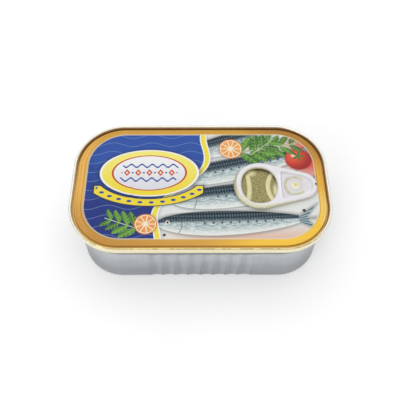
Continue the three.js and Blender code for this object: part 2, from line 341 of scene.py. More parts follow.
def tab_outline(inset):
    """The tab's plan moved in by inset, anticlockwise from the ring's rear: the ring's arc, a straight side,
    the nose's arc and the other side. The sides are the tangents that the two circles share, and the nose has
    a notch at its tip, as deep as a bell curve of the way round."""
    turn = np.linspace(TANGENT, 2 * math.pi - TANGENT, 120)
    ring = np.stack([np.cos(turn), np.sin(turn)], -1) * (RING_RADIUS - inset) + [RING_X, TAB_Y]
    turn = np.linspace(-TANGENT, TANGENT, 90)
    notch = NOTCH_DEPTH * np.exp(-(turn * NOSE_RADIUS / NOTCH_HALF_WIDTH) ** 2)
    nose_radius = (NOSE_RADIUS - inset - notch)[:, None]
    nose = np.stack([np.cos(turn), np.sin(turn)], -1) * nose_radius + [NOSE_X, TAB_Y]
    share = np.linspace(0, 1, 46)[1:-1, None]
    front = ring[-1] + (nose[0] - ring[-1]) * share
    rear = nose[-1] + (ring[0] - nose[-1]) * share
    return np.concatenate([ring, front, nose, rear])


def hole_outline(turn, grow):
    """The finger hole's superellipse, grown all round, at angles of its own round."""
    cos, sin = np.cos(turn), np.sin(turn)
    power = 2 / HOLE_SQUARENESS
    x = HOLE_X + (HOLE_HALF_LENGTH + grow) * np.sign(cos) * np.abs(cos) ** power
    y = TAB_Y + (HOLE_HALF_WIDTH + grow) * np.sign(sin) * np.abs(sin) ** power
    return np.stack([x, y], -1)


def web_field(points):
    """Below 0 inside the sunken web: the tab's plan moved in by the web's rim and cut off at its left, with
    the corners between the two eased by a smooth maximum."""
    along = points[..., 0] - RING_X
    across = np.abs(points[..., 1] - TAB_Y)
    side = along * math.cos(TANGENT) + across * math.sin(TANGENT) - RING_RADIUS
    nose = np.hypot(points[..., 0] - NOSE_X, across) - NOSE_RADIUS
    past = (points[..., 0] - NOSE_X) * math.sin(TANGENT) > across * math.cos(TANGENT)
    plan = np.where(past, nose, side) + WEB_RIM
    left = WEB_LEFT - points[..., 0]
    ease = 0.9
    return 0.5 * (plan + left + np.sqrt((plan - left) ** 2 + ease ** 2)) - 0.1


def web_reach(direction):
    """How far the web's outline lies from the rivet along each direction, found by halving."""
    near = np.full(len(direction), 0.5)
    far = np.full(len(direction), 12.0)
    for _ in range(24):
        middle = (near + far) / 2
        inside = web_field(np.array([RIVET_X, TAB_Y]) + direction * middle[:, None]) < 0
        near = np.where(inside, middle, near)
        far = np.where(inside, far, middle)
    return near


def pull_tab(material):
    """The ring pull, as three bands that share their edges and close round it: the curled outer edge, the
    ring's deck with the hole's curl, and the web round the rivet with its C-shaped slot. Each curl is a half
    ellipse from top to base."""
    half = (TAB_TOP_Z - TAB_BASE_Z) / 2
    angles = np.radians(np.linspace(90, -90, 19))
    curl = [(1 - math.cos(angle), TAB_BASE_Z + half + half * math.sin(angle)) for angle in angles]
    outer = [at_height(tab_outline(TAB_CURL * inward), z) for inward, z in curl]

    plan = tab_outline(TAB_CURL)
    ahead = np.flatnonzero(plan[:, 0] > BRIDGE_X)
    left = np.concatenate([plan[ahead[-1] + 1:], plan[:ahead[0]]])
    right = plan[ahead]
    bridge = left[-1] + (left[0] - left[-1]) * np.linspace(0, 1, 48)[1:-1, None]

    ring_loop = np.concatenate([left, bridge])
    rel = ring_loop - [HOLE_X, TAB_Y]
    squareness = HOLE_SQUARENESS / 2
    ratio_x = np.sign(rel[:, 0]) * np.abs(rel[:, 0] / HOLE_HALF_LENGTH) ** squareness
    ratio_y = np.sign(rel[:, 1]) * np.abs(rel[:, 1] / HOLE_HALF_WIDTH) ** squareness
    turn = np.arctan2(ratio_y, ratio_x)
    hole = hole_outline(turn, HOLE_CURL)
    shares = np.linspace(0, 1, 6)[:, None, None]
    deck = ring_loop + (hole - ring_loop) * shares
    ring = [at_height(row, TAB_TOP_Z) for row in deck]
    ring += [at_height(hole_outline(turn, HOLE_CURL * inward), z) for inward, z in curl]
    ring += [at_height(row, TAB_BASE_Z) for row in deck[::-1]]

    web_loop = np.concatenate([left[-1:], right, left[:1], bridge[::-1]])
    rel = web_loop - [RIVET_X, TAB_Y]
    radius = np.linalg.norm(rel, axis=1)
    direction = rel / radius[:, None]
    reach = web_reach(direction)
    lip = reach + WEB_LIP
    floor = reach - WEB_FILLET
    floor_z = TAB_TOP_Z - WEB_DEPTH
    turned = np.abs(np.arctan2(direction[:, 1], direction[:, 0]))
    lanced = smooth((turned - SLOT_OPENING) / 0.12)
    slot_out = np.minimum(SLOT_OUTER, floor - 0.25)
    slot_in = slot_out - (SLOT_OUTER - SLOT_INNER)
    slot_z = floor_z - lanced * (floor_z - TAB_BASE_Z - 0.05)
    levels = [(radius + (lip - radius) * s, TAB_TOP_Z) for s in (0.0, 0.3, 0.6, 0.85, 1.0)]
    for s in np.linspace(0, 1, 11)[1:]:
        levels.append((lip + (floor - lip) * s, TAB_TOP_Z - WEB_DEPTH * float(smooth(s))))
    levels += [((floor + slot_out) / 2, floor_z), (slot_out + 0.04, floor_z), (slot_out - 0.04, slot_z)]
    levels += [(slot_in + 0.04, slot_z), (slot_in - 0.04, floor_z)]
    all_round = np.ones(len(radius))
    boss = [(3.2, 0.0), (2.95, 0.04), (2.7, 0.14), (2.4, 0.2), (2.1, 0.2), (1.9, 0.12), (RIVET_HOLE, 0.0)]
    levels += [(all_round * r, floor_z + up) for r, up in boss]
    levels += [(r, TAB_BASE_Z) for r in (all_round * RIVET_HOLE, all_round * 3, floor, lip, radius)]
    web = [at_height([RIVET_X, TAB_Y] + direction * r[:, None], z) for r, z in levels]

    points, quads, count = [], [], 0
    for rows, turned_over in ((outer, True), (ring, False), (web, False)):
        found = grid_quads(len(rows), len(rows[0]), closed_columns=True, start=count)
        quads.append(found[:, ::-1] if turned_over else found)
        points.append(np.concatenate(rows))
        count += len(points[-1])
    return mesh_piece("pull_tab_sheet", np.concatenate(points), np.concatenate(quads), material)


def lid_rivet(material):
    """The rivet, drawn up out of the lid: a stem through the tab's web and a low head with a button on it, as
    a profile of (radius, z) turned about an upright axis. The profile's ends lie on the axis."""
    floor_z = TAB_TOP_Z - WEB_DEPTH
    profile = [(0, PANEL_Z - 0.1), (1.5, PANEL_Z - 0.1), (1.5, floor_z + 0.22), (2.1, floor_z + 0.24)]
    profile += [(2.25, floor_z + 0.3), (2.2, floor_z + 0.38), (1.9, floor_z + 0.42), (1.3, floor_z + 0.4)]
    profile += [(1.15, floor_z + 0.46), (1.0, floor_z + 0.54), (0.7, floor_z + 0.58), (0.3, floor_z + 0.56)]
    profile += [(0.15, floor_z + 0.5), (0, floor_z + 0.49)]
    r, z = np.hsplit(np.array(profile, float), 2)
    turn = np.linspace(0, 2 * math.pi, 64, endpoint=False)
    points = np.stack([RIVET_X + r * np.cos(turn), TAB_Y + r * np.sin(turn), z + 0 * turn], -1)
    quads = grid_quads(len(profile), len(turn), closed_columns=True)
    return mesh_piece("lid_rivet", points, quads, material)


# How high, in metres, a bump of 1 stands.
BUMP_DISTANCE = 0.0002


class Socket:
    """A socket of a material's node tree. An expression on these adds its Math nodes."""

    def __init__(self, finish, link):
        self.finish = finish
        self.link = link

    def math(self, operation, *others):
        return self.finish.math(operation, self, *others)

    def __add__(self, other):
        return self.math("ADD", other)

    def __radd__(self, other):
        return self.finish.math("ADD", other, self)

    def __sub__(self, other):
        return self.math("SUBTRACT", other)

    def __rsub__(self, other):
        return self.finish.math("SUBTRACT", other, self)

    def __mul__(self, other):
        return self.math("MULTIPLY", other)

    def __rmul__(self, other):
        return self.finish.math("MULTIPLY", other, self)

    def __truediv__(self, other):
        return self.math("DIVIDE", other)

    def __neg__(self):
        return self.math("MULTIPLY", -1.0)

    def __pow__(self, other):
        return self.math("POWER", other)

    def __abs__(self):
        return self.math("ABSOLUTE")


class Finish:
    """One material: its node tree, its Principled shader and the methods that add nodes to it."""

    def __init__(self, name, **constants):
        self.material = bpy.data.materials.new(name)
        self.material.use_nodes = True
        self.tree = self.material.node_tree
        self.shader = self.tree.nodes["Principled BSDF"]
        for socket, value in constants.items():
            self.feed(self.shader.inputs[socket.replace("_", " ")], value)
        place = self.node("ShaderNodeTexCoord", {}, {}, outlet="Object")
        axes = self.node("ShaderNodeSeparateXYZ", {}, {0: place}).link.node.outputs
        self.x, self.y, self.z = (Socket(self, axis) / MM for axis in axes)

    def node(self, kind, settings, values, outlet=0):
        """Adds any node: first its settings, then the values or links of its sockets."""
        made = self.tree.nodes.new(kind)
        for key, value in settings.items():
            setattr(made, key, value)
        for key, value in values.items():
            self.feed(made.inputs[key], value)
        return Socket(self, made.outputs[outlet])

    def feed(self, socket, value):
        """Links a socket to another, or gives it a number or a colour written as rrggbb."""
        if isinstance(value, Socket):
            self.tree.links.new(value.link, socket)
        else:
            socket.default_value = colour(value) if isinstance(value, str) else value

    def math(self, operation, *values, clamp=False):
        settings = {"operation": operation, "use_clamp": clamp}
        return self.node("ShaderNodeMath", settings, dict(enumerate(values)))

    def mix(self, share, first, second):
        """From the first colour to the second, as share goes from 0 to 1."""
        sockets = {0: share, 6: first, 7: second}
        return self.node("ShaderNodeMix", {"data_type": "RGBA"}, sockets, outlet=2)

    def layers(self, ground, *layers):
        """Lays colours over a ground colour, one after another, each given with its share."""
        for share, tint in layers:
            ground = self.mix(share, ground, tint)
        return ground

    def noise(self, x, y, z=0.0, detail=2.0, roughness=0.5):
        """Smooth noise from 0 to 1, with one swell or dip for about every 1 of the given coordinates."""
        place = self.node("ShaderNodeCombineXYZ", {}, {0: x, 1: y, 2: z})
        sockets = {"Vector": place, "Scale": 1.0, "Detail": detail, "Roughness": roughness}
        return self.node("ShaderNodeTexNoise", {}, sockets, outlet="Fac")

    def inside(self, distance, soft=0.14):
        """1 where a signed distance is below 0 and 0 beyond, with an edge as wide as soft."""
        return self.math("MULTIPLY_ADD", distance, -1.0 / soft, 0.5, clamp=True)

    def ramp(self, value, low, high):
        """0 up to low and 1 from high on, with a smooth rise between. Low may be the larger of the two."""
        sockets = {"Value": value, "From Min": low, "From Max": high}
        return self.node("ShaderNodeMapRange", {"interpolation_type": "SMOOTHSTEP"}, sockets)

    def lowest(self, first, second):
        return self.math("MINIMUM", first, second)

    def highest(self, first, second):
        return self.math("MAXIMUM", first, second)

    def length(self, x, y):
        return self.math("SQRT", x * x + y * y)

    def bump(self, height, strength):
        sockets = {"Height": height, "Strength": strength, "Distance": BUMP_DISTANCE}
        return self.node("ShaderNodeBump", {}, sockets)

    def set(self, **sockets):
        """Feeds the shader's sockets: base_color, roughness, metallic and normal."""
        for key, value in sockets.items():
            self.feed(self.shader.inputs[key.replace("_", " ").title()], value)


def colour(text):
    """A colour written as rrggbb, as linear red, green, blue and alpha."""
    parts = np.array([int(text[i:i + 2], 16) / 255 for i in (0, 2, 4)])
    linear = np.where(parts <= 0.04045, parts / 12.92, ((parts + 0.055) / 1.055) ** 2.4)
    return (*linear.tolist(), 1.0)


def round_distance(f, middle_x, half_x, half_y, radius):
    """The signed distance to a rounded rectangle, below 0 inside it."""
    along = abs(f.x - middle_x) - (half_x - radius)
    across = abs(f.y) - (half_y - radius)
    outside = f.length(f.highest(along, 0.0), f.highest(across, 0.0))
    return outside + f.lowest(f.highest(along, across), 0.0) - radius


def gold_tone(f):
    """The border's clear gold lacquer: warm, with fine rolling marks along X and slow shifts of tone. Painted
    reflections make it paler at the ends, yellow at the front right, and brown along the front, at the front
    left and at the rear right. Returns the colour, the slow shifts and the marks."""
    slow = f.noise(f.x * 0.06, f.y * 0.06, f.z * 0.06)
    grain = f.noise(f.x * 0.12, f.y * 7.0, f.z * 2.0, detail=3.0)
    gold = f.layers(
        f.mix(slow, "cf9a3a", "deae4a"),
        # Painted reflections: the border lighter or darker by its place round the tin.
        (f.ramp(f.x, 40.0, 48.0) * 0.7, "eeb038"),
        (f.ramp(-f.x, 40.0, 48.0) * 0.6, "f2bc62"),
        (f.ramp(-f.y, 20.0, 27.0) * 0.3, "a8784c"),
        (f.ramp(f.x * 0.6 - f.y, 24.0, 44.0) * 0.9, "f4c640"),
        (f.ramp(f.x, 46.0, 49.0) * f.ramp(f.y, 0.0, -9.0) * 0.6, "f0cc7c"),
        (f.ramp(-f.x * 0.6 - f.y, 30.0, 48.0) * 0.65, "b27e36"),
        (f.ramp(f.x * 0.7 + f.y, 36.0, 52.0) * 0.7, "a5722e"),
        (f.ramp(grain, 0.35, 0.8) * 0.2, "b98634"),
    )
    return gold, slow, grain


def rim_finish():
    """Clear gold lacquer on aluminium: pale on the seam and a little paler at its rear as painted light, with
    painted shade in the groove, brown at the rear and sides, and warm gold on the border. At the front the
    seam's crown is painted gold as a reflection, with a thin broken dark line outside it as a painted dark
    reflection, and the seam's foot is darkened as painted shade."""
    f = Finish("gold_rim", Metallic=0.75, Coat_Weight=0.25, Coat_Roughness=0.12)
    inset = -round_distance(f, 0.0, LENGTH / 2, DEPTH / 2, CORNER_RADIUS)
    gold, slow, grain = gold_tone(f)
    rear = f.ramp(f.y, -29.0, -21.0)
    rubbed = f.ramp(f.noise(f.x * 0.9, f.y * 0.9, f.z), 0.45, 0.75)
    # Painted light: the seam a little paler at the rear.
    seam = f.mix(rear, "fbf0c8", "fcf9ec")
    seam = f.mix(rubbed * 0.4, seam, "e6d8aa")
    # Painted reflection: the seam's crown gold at the front.
    seam = f.mix(f.ramp(inset, 0.3, 0.5) * (1.0 - rear) * 0.85, seam, "eccb72")
    # Painted dark reflection: a thin broken dark line outside the crown at the front.
    broken = f.ramp(f.noise(f.x * 0.3, f.y, 7.0), 0.4, 0.5)
    line = f.inside(abs(inset - 0.36) - 0.1, 0.1) * (1.0 - rear) * broken
    seam = f.mix(line * 0.8, seam, "6f5420")
    shade = f.mix(f.inside(inset - SEAM_THICKNESS, 0.5), gold, seam)
    # Painted shade in the groove: dark brown on its outer side at the rear and sides, pale at the front.
    in_groove = f.ramp(PANEL_Z - 0.4 - f.z, 0.0, 0.4) * f.inside(SEAM_THICKNESS - 0.05 - inset, 0.1)
    groove_shade_side = f.ramp(f.x * 0.35 + f.y, -27.0, 4.0)
    outer_side = f.inside(inset - SEAM_THICKNESS - 0.3, 0.3)
    groove = f.mix(groove_shade_side * outer_side, "f8dea4", "7a5a22")
    shade = f.mix(in_groove * 0.9, shade, groove)
    # Painted shade on the seam's foot.
    foot = f.ramp(SEAM_BASE_Z + 1.4 - f.z, 0.0, 1.4) * f.inside(inset - 0.8, 0.3)
    shade = f.mix(foot * 0.8, shade, "a89c78")
    height = grain * 0.25 + f.noise(f.x * 1.6, f.y * 1.6, f.z * 1.6, detail=3.0)
    f.set(
        base_color=shade,
        roughness=0.24 + 0.12 * slow + 0.08 * grain,
        normal=f.bump(height, strength=0.12),
    )
    return f.material


def can_finish():
    """Bare drawn aluminium: light satin grey with faint upright drawing marks and a soft bloom. It is darker
    at the foot with painted shade, at the corners with a painted dark reflection, in the creases between
    flutes with painted shade and in a scalloped band of painted shadow under the seam, and each flute has a
    painted dark flank and a painted light flank."""
    f = Finish("drawn_aluminium", Metallic=0.7)
    marks = f.noise(f.x * 2.6, f.y * 2.6, f.z * 0.05, detail=4.0, roughness=0.6)
    bloom = f.noise(f.x * 0.12, f.y * 0.12, f.z * 0.25, detail=2.0)
    on_flutes = f.inside(abs(f.x) - FLUTE_REACH, 1.0) * f.ramp(abs(f.y), 24.0, 26.0)
    flank = f.math("SINE", f.x * (2 * math.pi / FLUTE_PITCH))
    scallop = abs(f.math("SINE", f.x * (math.pi / FLUTE_PITCH))) * on_flutes
    # The creases next to the ribs near the foot, for painted shade.
    crease = f.inside(scallop - 0.14, 0.16) * on_flutes * f.ramp(f.z, 10.0, 1.5)
    shade = f.layers(
        f.mix(f.ramp(marks, 0.3, 0.7), "c0c5c9", "ccd0d3"),
        (f.ramp(bloom, 0.35, 0.7) * 0.3, "abb1b6"),
        # Painted shade towards the foot, and a painted dark reflection at the corners.
        (f.ramp(f.z, 21.0, 5.0) * 0.7, "969a9d"),
        (f.ramp(abs(f.x), 34.0, 50.0) * f.ramp(f.z, 24.0, 14.0) * 0.45, "83878a"),
        # A painted dark flank and a painted light flank on each flute.
        (f.ramp(flank, 0.0, 1.0) * on_flutes * 0.16, "8b8f93"),
        (f.ramp(flank, 0.0, -1.0) * on_flutes * 0.13, "dfe3e5"),
        # Painted shade in the creases.
        (crease * 0.4, "6c7073"),
        # A scalloped band of painted shadow under the seam.
        (f.ramp(f.z + scallop * 1.5, 20.9, 21.8) * 0.65, "6c6e6d"),
    )
    f.set(
        base_color=shade,
        roughness=0.36 + 0.1 * bloom + 0.06 * marks,
        normal=f.bump(marks, strength=0.1),
    )
    return f.material


def tab_inset(f):
    """How far a point lies inside the tab's plan: from the ring's circle behind the tangent points, from the
    nose's circle ahead of them and from the straight side between."""
    along = f.x - RING_X
    across = abs(f.y - TAB_Y)
    side = RING_RADIUS - along * math.cos(TANGENT) - across * math.sin(TANGENT)
    ring = RING_RADIUS - f.length(along, across)
    ahead = f.x - NOSE_X
    nose = NOSE_RADIUS - f.length(ahead, across)
    behind = f.math("GREATER_THAN", across * math.cos(TANGENT), along * math.sin(TANGENT))
    past = f.math("GREATER_THAN", ahead * math.sin(TANGENT), across * math.cos(TANGENT))
    return behind * ring + past * nose + (1.0 - behind - past) * side


def tab_finish():
    """White lacquer on the tab's top and pale gold on its curled edge, widest at the front left, and in its
    slot; the gold is darker towards the left as painted shade. The sunken web is a little greyer with painted
    shade, inside a painted highlight on its rim and right of a painted highlight on a ridge. The hole's rear
    curl is bare cream metal shown at its rear left as a painted highlight, and the nose's notch at the tip
    has a painted shadow, a dark spot."""
    f = Finish("white_and_gold_tab", Coat_Weight=0.3, Coat_Roughness=0.15)
    cloud = f.noise(f.x * 0.35, f.y * 0.35, f.z)
    fine = f.noise(f.x * 3.0, f.y * 3.0, f.z * 3.0, detail=3.0)
    white = f.mix(cloud, "ece9ee", "f6f4f6")
    gold = f.mix(f.ramp(fine, 0.35, 0.7), "d4cfa8", "f8f5da")
    # Painted shade: the gold edge darker towards the left.
    gold = f.mix(f.ramp(f.x - f.y * 0.6, 20.0, 15.0) * 0.7, gold, "a9a67f")
    inset = tab_inset(f)
    front_left = f.ramp(f.x * 0.8 + f.y, 24.0, 4.0)
    fringe = f.inside(inset - 0.1 - 1.4 * front_left - (fine - 0.5) * 0.3, 0.2)
    from_rivet = f.length(f.x - RIVET_X, f.y - TAB_Y)
    off_slot = abs(f.math("ARCTAN2", f.y - TAB_Y, f.x - RIVET_X)) - SLOT_OPENING
    slot = f.inside(abs(from_rivet - (SLOT_INNER + SLOT_OUTER) / 2) - 0.55, 0.3)
    slot = slot * f.inside(-off_slot, 0.05)
    bare = f.highest(fringe, slot * 0.8)
    # Painted shade: the sunken web a little greyer.
    web_shade = f.inside(WEB_RIM - inset, 0.5) * f.inside(WEB_LEFT - f.x, 0.5)
    white = f.mix(web_shade * 0.8, white, "e2e0e1")
    # Painted highlight on the web's rim, at its front.
    lit = f.inside(abs(inset - WEB_RIM - 0.1) - 0.35, 0.4) * f.inside(WEB_LEFT + 1.0 - f.x, 2.0)
    white = f.mix(lit * f.inside(f.y - TAB_Y + 2.0, 1.0), white, "ffffff")
    # Painted highlight on a ridge at the web's left.
    ridge = f.inside(abs(f.x - WEB_LEFT + 0.8) - 0.5, 0.5)
    ridge = ridge * f.ramp(abs(f.y - TAB_Y), 6.5, 4.0)
    white = f.mix(ridge * 0.7, white, "ffffff")
    shade = f.mix(bare, white, gold)
    # The hole's curl in bare cream metal, shown at its rear left as a painted highlight.
    to_hole = f.length(f.x - HOLE_X, f.y - TAB_Y)
    curl = f.inside(f.z - TAB_TOP_Z + 0.2, 0.3) * f.inside(to_hole - 9.6, 0.5)
    cream = curl * f.ramp(f.y - f.x, -25.0, -14.0)
    shade = f.mix(cream * 0.8, shade, "e6dfae")
    # Painted shadow: a dark spot in the nose's notch.
    tip = f.length(f.x - TIP_SHADOW_SPOT[0], f.y - TIP_SHADOW_SPOT[1])
    shade = f.mix(f.inside(tip - 0.5, 0.3) * 0.85, shade, "4e3c30")
    f.set(
        base_color=shade,
        metallic=bare * 0.1,
        roughness=0.34 + 0.08 * cloud - 0.06 * bare,
        normal=f.bump(fine, strength=0.05),
    )
    return f.material


def rivet_finish():
    """Pale lacquered metal, a little yellow on the button, with a small dark olive dot in its middle."""
    f = Finish("pale_rivet", Metallic=0.45)
    r = f.length(f.x - RIVET_X, f.y - TAB_Y)
    fine = f.noise(f.x * 4.0, f.y * 4.0, f.z * 4.0)
    shade = f.mix(f.inside(r - 1.7, 0.9), "e6e3e2", "ece8c6")
    shade = f.mix(f.inside(r - 0.8, 0.3) * 0.7, shade, "e2dd9c")
    shade = f.mix(f.inside(r - 0.22, 0.12), shade, "a79a5c")
    f.set(base_color=shade, roughness=0.28 + 0.12 * fine, normal=f.bump(fine, strength=0.05))
    return f.material


# The drawn fish swim in a fan: each lane is a ray from a point far to the left of the tin.
FAN_CENTRE = (-110.0, -22.5)
FAN_FIRST = math.radians(2.2)
FAN_STEP = math.radians(5.7)
FAN_LANES = 4
FISH_LENGTH = 60.0
FISH_HALF_WIDTH = 5.4
FISH_NOSE = 93.0
FISH_TAIL = 0.93 * FISH_LENGTH
FISH_BOW = 3.4
FISH_SPOT_PITCH = 3.4
SCALE_TURNS = (2.9, 1.9)
GILL_CENTRE = 3.6
GILL_RADIUS = 6.2
EYE = (4.2, 0.5)
EYE_RADIUS = 0.85
PUPIL_RADIUS = 0.5


def draw_fish(f, ground):
    """Lays a fan of drawn fish over the ground colour. The angle round the fan's centre is cut into lanes. In
    a lane, s is the way from the nose, t runs from 0 at the nose to 1 at the tail, and w is the way across,
    bowed by t times (1 - t). The half width is 2.32 times the fish's own half width, times the root of t,
    times (1 - t) to the power 0.75."""
    from_x = f.x - FAN_CENTRE[0]
    from_y = f.y - FAN_CENTRE[1]
    away = f.length(from_x, from_y)
    lane_place = (f.math("ARCTAN2", from_y, from_x) - FAN_FIRST) / FAN_STEP + 0.5
    lane = f.lowest(f.highest(f.math("FLOOR", lane_place), 0.0), FAN_LANES - 1.0)
    w = (lane_place - 0.5 - lane) * FAN_STEP * away
    s = away - FISH_NOSE - lane * 5.0 - 2.2 * f.math("SINE", lane * 2.4)
    t = f.math("MULTIPLY", s, 1 / FISH_LENGTH, clamp=True)
    w = w + t * (1.0 - t) * FISH_BOW - 0.6
    half = f.math("SQRT", t) * (1.0 - t) ** 0.75 * (2.32 * FISH_HALF_WIDTH) + 0.02
    off = abs(w)
    past = s - FISH_TAIL
    tail = f.highest(off - past * 0.6 - 0.22 * FISH_HALF_WIDTH, past - off * 0.8 - 2.6)
    tail = f.highest(tail, -past)
    shape = f.lowest(off - half, tail)
    ground = f.mix(f.inside(shape - 0.7, 1.8) * 0.6, ground, "1d2f3a")
    v = w / half
    streak = f.noise(s * 0.4, w * 1.9, lane * 7.0, detail=5.0, roughness=0.7)
    fleck = f.noise(s * 1.5, w * 2.6, lane * 7.0 + 3.0, detail=3.0, roughness=0.7)
    belly = f.mix(f.ramp(v, -0.95, -0.2), "e9eee8", "8fa9ac")
    flank = f.mix(f.ramp(streak, 0.42, 0.62) * 0.75, belly, "f4f8f6")
    back = f.mix(f.ramp(fleck, 0.45, 0.72), "081f30", "3f7484")
    scale_s = s * SCALE_TURNS[0]
    scale_w = w * SCALE_TURNS[1]
    scales = f.math("SINE", scale_s + scale_w) * f.math("SINE", scale_s - scale_w)
    spot_s = (f.math("FRACT", s / FISH_SPOT_PITCH) - 0.5) * FISH_SPOT_PITCH
    spot = f.length(spot_s, w - 0.2) - 0.5
    spot = f.inside(spot, 0.25) * f.inside(abs(t - 0.54) - 0.27, 0.05)
    gill = f.inside(abs(f.length(s - GILL_CENTRE, w * 0.9) - GILL_RADIUS) - 0.16, 0.2)
    eye = f.length(s - EYE[0], w - EYE[1])
    fan = f.math("SINE", w * 34.0 / (past + 3.0))
    fin = f.mix(f.ramp(fan, -0.4, 0.9), "50707c", "b4c4c6")
    shade = f.layers(
        flank,
        (f.ramp(v + (streak - 0.5) * 0.7, 0.0, 0.34), back),
        (f.ramp(v, 0.5, 0.95) * 0.7, "061422"),
        (f.ramp(scales, 0.1, 0.9) * 0.16, "dfe9ea"),
        (spot * 0.8, "1a3343"),
        (gill * f.ramp(s, 4.0, 6.0) * 0.75, "2a4350"),
        (f.inside(eye - EYE_RADIUS, 0.2), "f2f1e2"),
        (f.inside(eye - PUPIL_RADIUS, 0.2), "101a22"),
        (f.inside(-past, 0.6), fin),
    )
    return f.mix(f.inside(shape), ground, shade)


LEAF_LEAN = math.radians(52)


def draw_sprig(f, ground, root, angle_deg, pairs, leaf_length):
    """Lays a sprig over the ground colour: a thin stem with pairs of leaves that get shorter towards its tip.
    The plane is sheared along the stem so that one leaf's formula, the overlap of two circles, serves them
    all."""
    angle = math.radians(angle_deg)
    pitch = leaf_length * 0.5
    from_x = f.x - root[0]
    from_y = f.y - root[1]
    s = from_x * math.cos(angle) + from_y * math.sin(angle)
    w = abs(from_y * math.cos(angle) - from_x * math.sin(angle))
    place = (s - w / math.tan(LEAF_LEAN)) / pitch
    number = f.lowest(f.highest(f.math("FLOOR", place), 0.0), pairs - 1.0)
    size = 1.12 - number * (0.5 / pairs)
    along = w / math.sin(LEAF_LEAN) / size - leaf_length / 2
    across = (place - number - 0.5) * (pitch * math.sin(LEAF_LEAN)) / size
    width = leaf_length * 0.4
    radius = (leaf_length ** 2 + width ** 2) / (4 * width)
    leaf = (f.length(along, abs(across) + radius - width / 2) - radius) * size
    stem = f.highest(w - 0.2, abs(s - pairs * pitch / 2) - pairs * pitch / 2 - 1.0)
    shape = f.lowest(leaf, stem)
    ground = f.mix(f.inside(shape - 0.3, 1.2) * 0.4, ground, "20301c")
    tone = f.noise(number * 3.1 + f.x * 0.12, f.y * 0.12, angle_deg * 0.1, detail=3.0)
    veins = f.ramp(f.math("SINE", (along - abs(across) * 1.2) * (30.0 / leaf_length)), -0.3, 1.0)
    shade = f.mix(f.ramp(tone, 0.35, 0.65), "255c23", "5f9c35")
    shade = f.mix(veins * 0.45, shade, "8fc650")
    shade = f.mix(f.ramp(across, -0.1, 1.2) * 0.35, shade, "173f1c")
    shade = f.mix(f.inside(f.lowest(abs(across) - 0.05, w - 0.2), 0.12), shade, "bcd98a")
    return f.mix(f.inside(shape, 0.12), ground, shade)


PITH = "fbf3d6"


def draw_fruit_wheel(f, ground, centre, radius, rind, flesh, light, segments):
    """Lays a cut round fruit over the ground colour: rind, pale pith and segments between pale spokes."""
    from_x = f.x - centre[0]
    from_y = f.y - centre[1]
    r = f.length(from_x, from_y)
    ground = f.mix(f.inside(r - radius - 0.4, 1.4) * 0.35, ground, "3a3420")
    turn = f.math("ARCTAN2", from_y, from_x)
    spoke = abs(f.math("SINE", turn * (segments / 2))) * r * (2 / segments)
    cells = f.noise(turn * 4.0, r * 1.3, float(segments), detail=3.0)
    shade = f.mix(f.ramp(cells, 0.35, 0.7), flesh, light)
    shade = f.mix(f.inside(spoke - 0.2, 0.16), shade, PITH)
    shade = f.mix(f.inside(0.84 * radius - r, 0.15), shade, PITH)
    shade = f.mix(f.inside(0.91 * radius - r, 0.15), shade, rind)
    return f.mix(f.inside(r - radius, 0.12), ground, shade)


def draw_tomato(f, ground, centre, radius):
    """Lays a whole tomato over the ground colour, lit from its upper left, with a green star near its top."""
    from_x = f.x - centre[0]
    from_y = f.y - centre[1]
    r = f.length(from_x, from_y * 1.06)
    ground = f.mix(f.inside(r - radius - 0.3, 1.4) * 0.35, ground, "4a1c14")
    lit = f.length(from_x + 0.35 * radius, from_y - 0.35 * radius)
    shade = f.mix(f.ramp(lit, 0.1 * radius, 1.35 * radius), "f0563a", "a8201a")
    shade = f.mix(f.inside(lit - 0.16 * radius, 0.7), shade, "ffd9c8")
    up = from_y - 0.3 * radius
    star_r = f.length(from_x, up)
    star = star_r - (0.28 + 0.2 * f.math("COSINE", f.math("ARCTAN2", up, from_x) * 5.0)) * radius
    shade = f.mix(f.inside(star, 0.15), shade, "3f7d2c")
    return f.mix(f.inside(r - radius, 0.12), ground, shade)


def draw_ground(f):
    """The print's ground: a cloudy white with a red-orange glow at the right and a warm one at the front."""
    cloud = f.noise(f.x * 0.05, f.y * 0.05, 3.0)
    pale = f.mix(cloud, "f1efe6", "dfe7ea")
    glow = f.ramp(f.x, 30.0, 46.0) * f.ramp(f.y, -3.0, 10.0)
    pale = f.mix(glow * 0.95, pale, "e4512c")
    warm = f.ramp(f.y, -17.0, -26.0) * f.ramp(f.x, -24.0, 10.0)
    return f.mix(warm * 0.6, pale, "e89a6c")


SWELL_HEIGHT = 4.6
SWELL_LENGTH = 6.2
WAVE_PITCH = 4.4
WAVE_LENGTH = 2.6


def draw_field(f, ground):
    """Lays the blue field over the ground colour at the left. Its edge is a sine along a slanted line, with
    a white, a yellow and a white stripe, and thin wave lines run across it, one for each pitch in y."""
    edge = f.x + 8.5 - f.y * 0.5 - SWELL_HEIGHT * f.math("SINE", f.y / SWELL_LENGTH + 0.2)
    tone = f.ramp(f.noise(f.x * 0.07, f.y * 0.07, 8.0) + f.y * 0.012, 0.3, 0.75)
    blue = f.mix(tone, "0a2a80", "2250a8")
    wave = f.math("FRACT", (f.y + 1.0 * f.math("SINE", f.x / WAVE_LENGTH)) / WAVE_PITCH)
    blue = f.mix(f.inside(abs(wave - 0.5) - 0.035, 0.03) * 0.4, blue, "8fb0dc")
    ground = f.mix(f.inside(edge - 3.6, 1.5) * 0.3, ground, "274060")
    for reach, tint in ((2.9, "f7f7f2"), (2.3, "f8e43a"), (0.5, "f7f7f2")):
        ground = f.mix(f.inside(edge - reach), ground, tint)
    return f.mix(f.inside(edge), ground, blue)


OVAL = (-21.0, 5.5)
OVAL_HALF = (19.5, 11.0)
ARCH_PLACE = 4.4
ARCH_HALF_WIDTH = 2.0
ARCH_HALF_LENGTH = 22.0
BEADS = 5.6
ROW_OFFSET = 3.4
DIAMOND_STEP = 4.6


